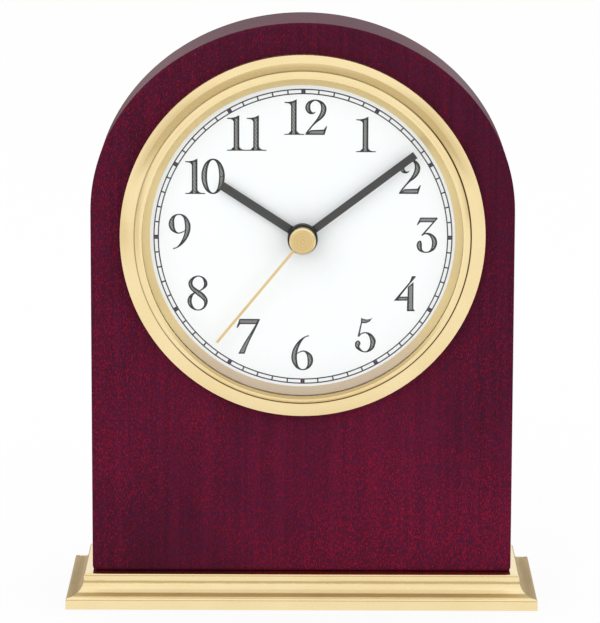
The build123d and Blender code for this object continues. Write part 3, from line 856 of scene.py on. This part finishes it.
def stroke_edges(path: Sequence[Knot], closed: bool) -> tuple[list[Pair], list[Pair]]:
    """Give the two edges of a stroke.

    Args:
        path: points of its middle line with their widths.
        closed: True where it ends at its start.

    Returns:
        The left and the right edge.
    """
    left, right = [], []
    padded = (path[-1], *path, path[0]) if closed else (path[0], *path, path[-1])
    for before, (x, z, width), after in zip(padded, path, padded[2:]):
        run = Vector((after[0] - before[0], after[1] - before[1])).normalized() * max(width, HAIRLINE) / 2
        left.append((x - run.y, z + run.x))
        right.append((x + run.y, z - run.x))
    return left, right


@dataclass(frozen=True)
class Glyph:
    """One numeral, in thousandths of its height from its lower left corner."""

    width: float
    strokes: tuple[tuple[Knot, ...], ...] = ()
    loops: tuple[tuple[Knot, ...], ...] = ()
    plates: tuple[tuple[Pair, ...], ...] = ()
    middles: tuple[tuple[Pair, ...], ...] = ()


ONE = Glyph(
    width=550,
    strokes=(((262, 20, 160), (262, 500, 158), (262, 905, 158)),),
    plates=(
        ((0, 0), (552, 0), (552, 26), (420, 30), (365, 55), (342, 110), (182, 110), (162, 55), (110, 30),
         (0, 26)),
        ((4, 926), (4, 896), (95, 890), (150, 868), (182, 820), (342, 860), (342, 1000), (225, 945),
         (120, 926)),
    ),
)
TWO = Glyph(
    width=618,
    strokes=((
        (286, 642, 20), (212, 608, 52), (120, 650, 112), (72, 772, 140), (128, 906, 96), (282, 976, 36),
        (443, 908, 84), (517, 766, 150), (492, 610, 150), (408, 478, 112), (300, 366, 62), (180, 232, 42),
        (78, 100, 46), (22, 6, 44),
    ),),
    plates=(((0, 0), (544, 0), (618, 248), (592, 246), (520, 148), (154, 134), (60, 44)),),
    middles=(((120, 42), (505, 42), (528, 108), (165, 98)),),
)
THREE = Glyph(
    width=592,
    strokes=(
        ((575, 984, 44), (360, 730, 42), (148, 488, 42)),
        ((148, 488, 32), (250, 545, 40), (380, 516, 78), (478, 408, 132), (508, 276, 148), (470, 132, 112),
         (384, 42, 52), (285, 14, 32), (190, 26, 46), (108, 96, 112), (80, 196, 150), (92, 285, 124),
         (118, 340, 36)),
    ),
    plates=(((100, 1000), (592, 1000), (506, 866), (104, 866), (34, 784), (4, 792), (60, 905)),),
    middles=(((112, 966), (532, 966), (492, 900), (112, 900)),),
)
FOUR = Glyph(
    width=620,
    plates=(
        ((0, 290), (444, 833), (500, 944), (511, 1000), (619, 1000), (612, 972), (540, 881), (429, 746),
         (151, 413), (88, 304)),
        ((62, 296), (405, 302), (405, 415), (150, 415)),
        ((396, 688), (556, 833), (556, 62), (594, 24), (594, 0), (374, 0), (374, 24), (396, 62)),
    ),
    middles=(
        ((130, 332), (385, 335), (385, 382), (168, 382)),
        ((430, 45), (522, 45), (522, 752), (430, 672)),
    ),
)
FIVE = Glyph(
    width=590,
    strokes=(
        ((180, 850, 36), (138, 650, 42), (98, 452, 50)),
        ((98, 452, 34), (183, 538, 32), (310, 563, 36), (424, 498, 92), (498, 366, 148), (505, 276, 150),
         (466, 134, 118), (362, 34, 54), (272, 16, 32), (168, 54, 54), (70, 164, 116), (84, 272, 150),
         (98, 338, 44)),
    ),
    plates=((
        (168, 1000), (192, 974), (325, 940), (440, 962), (494, 1000), (405, 880), (300, 836), (164, 842),
    ),),
    middles=(((196, 872), (296, 868), (380, 904), (420, 936), (322, 908), (198, 938)),),
)
SIX = Glyph(
    width=620,
    strokes=(
        ((492, 984, 46), (436, 970, 28), (350, 925, 42), (232, 800, 88), (132, 620, 132), (84, 430, 156),
         (92, 270, 150), (152, 112, 92), (240, 32, 48), (330, 12, 30), (430, 42, 54), (510, 140, 114),
         (538, 270, 158), (514, 400, 140), (440, 500, 72), (350, 544, 36), (255, 524, 32), (168, 476, 24)),
    ),
)
SEVEN = Glyph(
    width=672,
    plates=(
        ((95, 1000), (672, 1000), (590, 850), (112, 850), (46, 742), (10, 748), (56, 880)),
        ((60, 0), (240, 0), (308, 200), (400, 415), (538, 692), (672, 985), (560, 860), (385, 569),
         (231, 323)),
    ),
    middles=(
        ((118, 960), (602, 960), (564, 890), (118, 890)),
        ((112, 40), (214, 40), (274, 205), (364, 420), (450, 604), (392, 512), (262, 310)),
    ),
)
EIGHT = Glyph(
    width=585,
    loops=((
        (303, 984, 30), (172, 926, 66), (92, 800, 112), (122, 668, 120), (218, 574, 134), (330, 490, 150),
        (440, 400, 146), (520, 275, 112), (492, 122, 64), (400, 36, 38), (305, 14, 30), (200, 40, 50),
        (102, 140, 98), (64, 270, 120), (96, 390, 96), (170, 480, 52), (262, 532, 30), (366, 576, 30),
        (460, 642, 54), (514, 732, 96), (504, 840, 90), (430, 942, 48),
    ),),
)
# A six that is turned upside down
NINE = Glyph(SIX.width, (tuple((SIX.width - x, EM - z, width) for x, z, width in SIX.strokes[0]),))
# An oval that is thick at its sides, by the cosine and sine of 24 turns
ZERO = Glyph(
    width=654,
    loops=(tuple(
        (327 + 248 * across, 500 + 481 * up, 38 + (160 - 38) * abs(across) ** 1.5)
        for across, up in ((math.cos(turn), math.sin(turn)) for turn in round_turns(24))
    ),),
)


@dataclass
class DialPrint:
    """Minute track and numerals printed on the dial."""

    middle: Pair = (0.1, 105.3)
    face: float = -16.4
    height: float = 9.95
    edge: float = 38.0
    hatch_margin: float = 14.0
    hatch_shift: float = 7.0
    hatch_least: float = 6.0
    hatch_points: int = 3
    ink_thick: float = 0.03
    fill_thick: float = 0.05
    track_outer: float = 41.55
    track_inner: float = 40.35
    line: float = 0.32
    tick: float = 0.36
    block: float = 1.15
    ring_steps: int = 240
    curve_steps: int = 6
    ink: Finish = Coat("numeral_ink", tint(66, 66, 67), tint(52, 52, 53), *INK)
    track_ink: Finish = Coat("track_ink", tint(58, 54, 62), tint(44, 40, 50), *INK)
    block_ink: Finish = Coat("block_ink", tint(104, 82, 106), tint(84, 62, 88), *INK)
    hatch: Finish = Hatch("numeral_hatch")
    places: tuple[tuple[Pair, tuple[tuple[float, Glyph], ...]], ...] = (
        ((0.7, 33.8), ((0, ONE), (577, TWO))),
        ((17.4, 29), ((0, ONE),)),
        ((29.7, 17.3), ((0, TWO),)),
        ((34.6, 0.7), ((0, THREE),)),
        ((28.5, -15.9), ((0, FOUR),)),
        ((17.6, -27.7), ((0, FIVE),)),
        ((-0.1, -32.8), ((0, SIX),)),
        ((-15.3, -28.2), ((0, SEVEN),)),
        ((-29.4, -15.9), ((0, EIGHT),)),
        ((-34.4, 1.5), ((0, NINE),)),
        ((-27.3, 17.1), ((0, ONE), (451, ZERO))),
        ((-15.7, 29.3), ((0, ONE), (547, ONE))),
    )

    def build(self) -> None:
        """Print the track and the numerals."""
        self.build_track()
        self.build_numerals()

    def radial(self, slab: Slab, bearing: float, width: float, inner: float, outer: float) -> None:
        """Add one radial bar.

        Args:
            slab: the mesh it joins.
            bearing: its bearing from the top, in degrees.
            width: its width in millimetres.
            inner, outer: the radii of its ends.
        """
        turn = math.radians(bearing)
        out = Vector((math.sin(turn), math.cos(turn)))
        side = Vector((out.y, -out.x)) * width / 2
        middle = Vector(self.middle)
        near, far = middle + out * inner, middle + out * outer
        slab.plate([tuple(corner) for corner in (near - side, far - side, far + side, near + side)])

    def build_track(self) -> None:
        """Two fine circles, a bar at each minute and a block at each hour."""
        track = Slab("minute_track", self.face, self.ink_thick)
        blocks = Slab("hour_blocks", self.face, self.fill_thick)
        for radius in (self.track_inner, self.track_outer):
            track.ring(self.middle, radius - self.line / 2, radius + self.line / 2, self.ring_steps)
        ends = (self.track_inner, self.track_outer)
        for minute in range(MINUTES):
            width = self.tick if minute % (MINUTES // HOURS) else self.block
            self.radial(track, 360 / MINUTES * minute, width, *ends)
        for hour in range(HOURS):
            self.radial(blocks, 360 / HOURS * hour, self.block - 2 * self.line, *ends)
        track.done("clock_body", self.track_ink)
        blocks.done("clock_body", self.block_ink)

    def build_numerals(self) -> None:
        """Dark numerals with a paler hatched middle."""
        ink = Slab("numerals", self.face, self.ink_thick)
        fill = Slab("numeral_hatching", self.face, self.fill_thick)
        for (x, z), glyphs in self.places:
            shift, last = glyphs[-1]
            width = shift + last.width
            for offset, glyph in glyphs:
                lower_left = Vector((offset - width / 2, -EM / 2)) * self.height / EM
                corner = Vector(self.middle) + Vector((x, z)) + lower_left
                self.set_glyph(ink, fill, glyph, corner)
        ink.done("clock_body", self.ink)
        fill.done("clock_body", self.hatch)

    def set_glyph(self, ink: Slab, fill: Slab, glyph: Glyph, corner: Vector) -> None:
        """Set one numeral.

        Args:
            ink: the mesh of the dark print.
            fill: the mesh of the paler middle.
            glyph: the numeral.
            corner: its lower left corner in millimetres.
        """
        def at(points: Sequence[Pair]) -> list[Pair]:
            """Scale points and move them to the numeral's place."""
            return [tuple(corner + Vector(point) * self.height / EM) for point in points]

        for closed, lines in ((False, glyph.strokes), (True, glyph.loops)):
            for knots in lines:
                path = smooth_path(knots, closed, self.curve_steps)
                left, right = stroke_edges(path, closed)
                ink.band(at(left), at(right), closed)
                for piece in self.wide_runs(path):
                    left, right = stroke_edges(piece, False)
                    fill.band(at(left), at(right), False)
        for outline in glyph.plates:
            ink.plate(at(outline))
        for outline in glyph.middles:
            fill.plate(at(outline))

    def wide_runs(self, path: Sequence[Knot]) -> list[list[Knot]]:
        """Find the runs of a stroke that are wide enough for a paler middle.

        Args:
            path: points of the stroke's middle line with their widths.

        Returns:
            The runs, with the widths of the paler middle.
        """
        runs, run = [], []
        for x, z, width in path:
            inner = width - 2 * self.edge - self.hatch_margin
            if inner > self.hatch_least:
                run.append((x - self.hatch_shift, z, inner))
            elif run:
                runs.append(run)
                run = []
        if run:
            runs.append(run)
        return [part for part in runs if len(part) >= self.hatch_points]


@dataclass
class CaseWork:
    """The wooden case, its brass plinth and what fastens them."""

    wood: Finish = Lacquer("mahogany_lacquer")
    plinth: Finish = PlinthBrass("plinth_brass")
    felt: Finish = Felt("pressed_felt")
    screws: Finish = Steel("base_screw_steel")

    def dress(self) -> None:
        """Give each piece its finish."""
        dress(self.wood, "wood_case")
        dress(self.plinth, "brass_base")
        dress(self.felt, "base_felt")
        dress(self.screws, "base_screws")


@dataclass
class Insert:
    """Bezel, glass, dial and the cup behind them."""

    bezel: Finish = BezelBrass("bezel_brass")
    reflector: Finish = ReflectorBrass("reflector_brass")
    rubber: Finish = Coat("gasket_rubber", tint(34, 34, 35), tint(24, 24, 25), 0.02, 0.75, 0.1, 0.3, 3.0)
    enamel: Finish = Coat("dial_enamel", tint(252, 253, 255), tint(249, 250, 254), 0.003, 0.5, 0.06, 0.3, 2.0)
    cup: Finish = Coat("cup_plastic", tint(40, 40, 42), tint(30, 30, 32), 0.02, 0.55, 0.12, 0.4, 3.0)
    glass: Finish = Glass("dial_glass")
    screws: Finish = Steel("insert_steel")

    def dress(self) -> None:
        """Give each piece its finish."""
        dress(self.bezel, "bezel_ring")
        dress(self.reflector, "reflector_ring")
        dress(self.glass, "lens")
        dress(self.enamel, "dial_plate")
        dress(self.rubber, "lens_gasket", "grip_ring")
        dress(self.cup, "insert_cup")
        dress(self.screws, "insert_screws", "clamp_washer", "clamp_nut")


@dataclass
class Hands:
    """The three hands and the cap."""

    paint: Finish = HubPaint("hand_paint")
    cap: Finish = CapBrass("cap_gilt")
    gilt: Finish = Coat("hand_gilt", tint(238, 210, 154), tint(204, 170, 108), 0.004, 0.35, 0.1, 0.5, 1.2)

    def dress(self) -> None:
        """Give each hand its finish."""
        dress(self.paint, "hour_hand", "minute_hand")
        dress(self.cap, "second_cap")
        dress(self.gilt, "second_hand")


@dataclass
class Movement:
    """The quartz movement: casing, train, motor, electronics and cell."""

    casing: Finish = Coat("casing_plastic", tint(44, 44, 46), tint(34, 34, 36), 0.03, 0.5, 0.14, 0.4, 4.0)
    gears: Finish = Coat("gear_acetal", tint(236, 232, 220), tint(224, 219, 204), 0.004, 0.35, 0.1, 0.5, 1.2)
    magnet: Finish = Coat("magnet_sinter", tint(78, 78, 81), tint(58, 58, 62), 0.02, 0.55, 0.15, 0.5, 5.0)
    steel: Finish = Steel("movement_steel")
    wire: Finish = Winding("coil_copper")
    board: Finish = Coat("board_mask", tint(34, 108, 66), tint(26, 88, 54), 0.006, 0.3, 0.1, 0.5, 1.0)
    chip: Finish = Coat("chip_resin", tint(28, 28, 30), tint(20, 20, 22), 0.01, 0.4, 0.1, 0.5, 5.0)
    cell: Finish = Coat("cell_jacket_paint", tint(70, 76, 88), tint(58, 64, 76), 0.003, 0.32, 0.08, 0.5, 0.8)

    def dress(self) -> None:
        """Give each piece its finish."""
        dress(self.casing, "movement_front_case", "movement_rear_case", "battery_door", "train_bridge")
        dress(self.casing, "set_stem", "set_knob")
        dress(self.gears, "third_wheel", "motion_wheel", "intermediate_wheel", "rotor_pinion", "hour_wheel")
        dress(self.gears, "minute_wheel", "seconds_wheel", "coil_bobbin")
        dress(self.magnet, "rotor_magnet")
        dress(self.steel, "stator", "coil_core", "quartz_crystal", "plus_contact", "minus_contact")
        dress(self.wire, "coil_winding")
        dress(self.board, "circuit_board")
        dress(self.chip, "timer_chip")
        dress(self.cell, "battery")


@dataclass
class RearPlate:
    """The plate that closes the back, and its screws."""

    plate: Finish = Coat("rear_cover_plastic", tint(36, 36, 38), tint(27, 27, 29), 0.04, 0.55, 0.15, 0.4, 3.0)
    screws: Finish = Steel("cover_screw_steel")

    def dress(self) -> None:
        """Give each piece its finish."""
        dress(self.plate, "rear_cover")
        dress(self.screws, "cover_screws")


@dataclass(frozen=True)
class Softbox:
    """One square studio lamp."""

    name: str
    place: Triple
    size: float
    power: float


@dataclass
class Studio:
    """Floor, sky, lamps and camera."""

    floor_corners: tuple[Pair, ...] = ((-3.0, -0.6), (3.0, -0.6), (3.0, 5.0), (-3.0, 5.0))
    floor_white: Colour = (0.86, 0.86, 0.86, 1.0)
    floor_rough: float = 0.9
    floor_gloss: float = 0.1
    floor_glow: float = 0.9
    sky_fill: float = 0.98
    dim: Colour = (0.5, 0.43, 0.29, 1.0)
    room_ahead: Pair = (0.35, 0.75)
    room_bottom: Pair = (0.05, 0.2)
    room_top: Pair = (0.5, 0.68)
    side_from_to: Pair = (0.78, 1.05)
    floor_left_from_to: Pair = (0.25, 0.6)
    floor_left_most: float = 0.45
    target: Triple = (0.0, 0.0, 0.09)
    lamps: tuple[Softbox, ...] = (
        Softbox("key_lamp", (-0.9, -1.3, 1.1), 1.3, 5.0),
        Softbox("fill_lamp", (1.1, -1.2, 0.7), 1.3, 2.8),
        Softbox("top_lamp", (0.0, 0.3, 1.6), 1.3, 3.0),
    )
    eye: Triple = (0.000314, -1.10615, 0.28924)
    pitch: float = 0.18596
    yaw: float = -0.0009
    roll: float = 0.00297
    focal_px: float = 3961.3
    image_long_px: float = 623.0
    sensor: float = 36.0
    clip: Pair = (0.05, 50.0)

    def build(self) -> None:
        """Set up the whole studio."""
        self.build_floor()
        self.build_sky()
        for lamp in self.lamps:
            self.build_lamp(lamp)
        self.build_camera()
        bpy.context.scene.view_settings.view_transform = "Standard"

    def build_floor(self) -> None:
        """Lay a pale floor that keeps the shadow and is a little dim at the left in reflections."""
        mesh = bmesh.new()
        mesh.faces.new([mesh.verts.new((x, y, 0.0)) for x, y in self.floor_corners])
        data = bpy.data.meshes.new("floor")
        mesh.to_mesh(data)
        mesh.free()
        floor = bpy.data.objects.new("floor", data)
        bpy.context.scene.collection.objects.link(floor)
        material = bpy.data.materials.new("floor_white")
        material.use_nodes = True
        recipe = Recipe(material.node_tree)
        camera, glossy = (recipe.ray(kind) for kind in ("Camera", "Glossy"))
        seen = camera | glossy
        matt = recipe.principled(
            Base_Color=self.floor_white, Roughness=self.floor_rough, Specular_IOR_Level=self.floor_gloss
        )
        x = recipe.along("X", recipe.node("ShaderNodeNewGeometry", out="Position"))
        aside = self.floor_left_most * (0.0 - x).ramp(*self.floor_left_from_to)
        glow = recipe.blend(glossy * aside, WHITE, self.dim)
        white = recipe.node("ShaderNodeEmission", {"Color": glow, "Strength": 1.0})
        mixed = recipe.node("ShaderNodeMixShader", {0: seen * self.floor_glow, 1: matt, 2: white})
        recipe.node("ShaderNodeOutputMaterial", {"Surface": mixed})
        data.materials.append(material)

    def build_sky(self) -> None:
        """Hang a white sky, which metal sees as a dim warm room ahead of the clock and at its sides."""
        world = bpy.data.worlds.new("studio_sky")
        world.use_nodes = True
        bpy.context.scene.world = world
        recipe = Recipe(world.node_tree)
        camera, glossy, through = (recipe.ray(kind) for kind in ("Camera", "Glossy", "Transmission"))
        toward = recipe.node("ShaderNodeTexCoord", out="Generated")
        x, y, z = (recipe.along(axis, toward) for axis in "XYZ")
        room = (0.0 - y).ramp(*self.room_ahead) * (z.ramp(*self.room_bottom) - z.ramp(*self.room_top))
        dimmed = glossy * (room | (x * x).ramp(*self.side_from_to))
        colour = recipe.blend(dimmed, WHITE, self.dim)
        level = (camera | through | glossy).swing(self.sky_fill, 1.0 - self.sky_fill)
        sky = recipe.node("ShaderNodeBackground", {"Color": colour, "Strength": level})
        recipe.node("ShaderNodeOutputWorld", {"Surface": sky})

    def build_lamp(self, lamp: Softbox) -> None:
        """Hang one lamp, aimed at the clock and unseen in reflections.

        Args:
            lamp: its place, size and power.
        """
        data = bpy.data.lights.new(lamp.name, "AREA")
        data.shape = "SQUARE"
        data.size = lamp.size
        data.energy = lamp.power
        made = bpy.data.objects.new(lamp.name, data)
        bpy.context.scene.collection.objects.link(made)
        made.visible_glossy = False
        made.location = lamp.place
        aim = Vector(self.target) - Vector(lamp.place)
        made.rotation_euler = aim.to_track_quat("-Z", "Y").to_euler()

    def build_camera(self) -> None:
        """Stand the camera where the photograph was taken from."""
        data = bpy.data.cameras.new("camera")
        data.sensor_width = self.sensor
        data.lens = self.focal_px * self.sensor / self.image_long_px
        data.clip_start, data.clip_end = self.clip
        camera = bpy.data.objects.new("camera", data)
        bpy.context.scene.collection.objects.link(camera)
        across = Vector((math.cos(self.yaw), -math.sin(self.yaw), 0.0))
        level = math.cos(self.pitch)
        ahead = Vector((math.sin(self.yaw) * level, math.cos(self.yaw) * level, -math.sin(self.pitch)))
        above = across.cross(ahead)
        right = across * math.cos(self.roll) + above * math.sin(self.roll)
        up = above * math.cos(self.roll) - across * math.sin(self.roll)
        turn = Matrix((right, up, -ahead)).transposed().to_4x4()
        camera.matrix_world = Matrix.Translation(self.eye) @ turn
        bpy.context.scene.camera = camera


def main() -> None:
    """Dress the clock and set up the studio."""
    logging.basicConfig(level=logging.INFO, format="%(name)s: %(message)s")
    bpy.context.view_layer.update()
    Studio().build()
    CaseWork().dress()
    Insert().dress()
    DialPrint().build()
    Hands().dress()
    Movement().dress()
    RearPlate().dress()


if __name__ == "__main__":
    main()
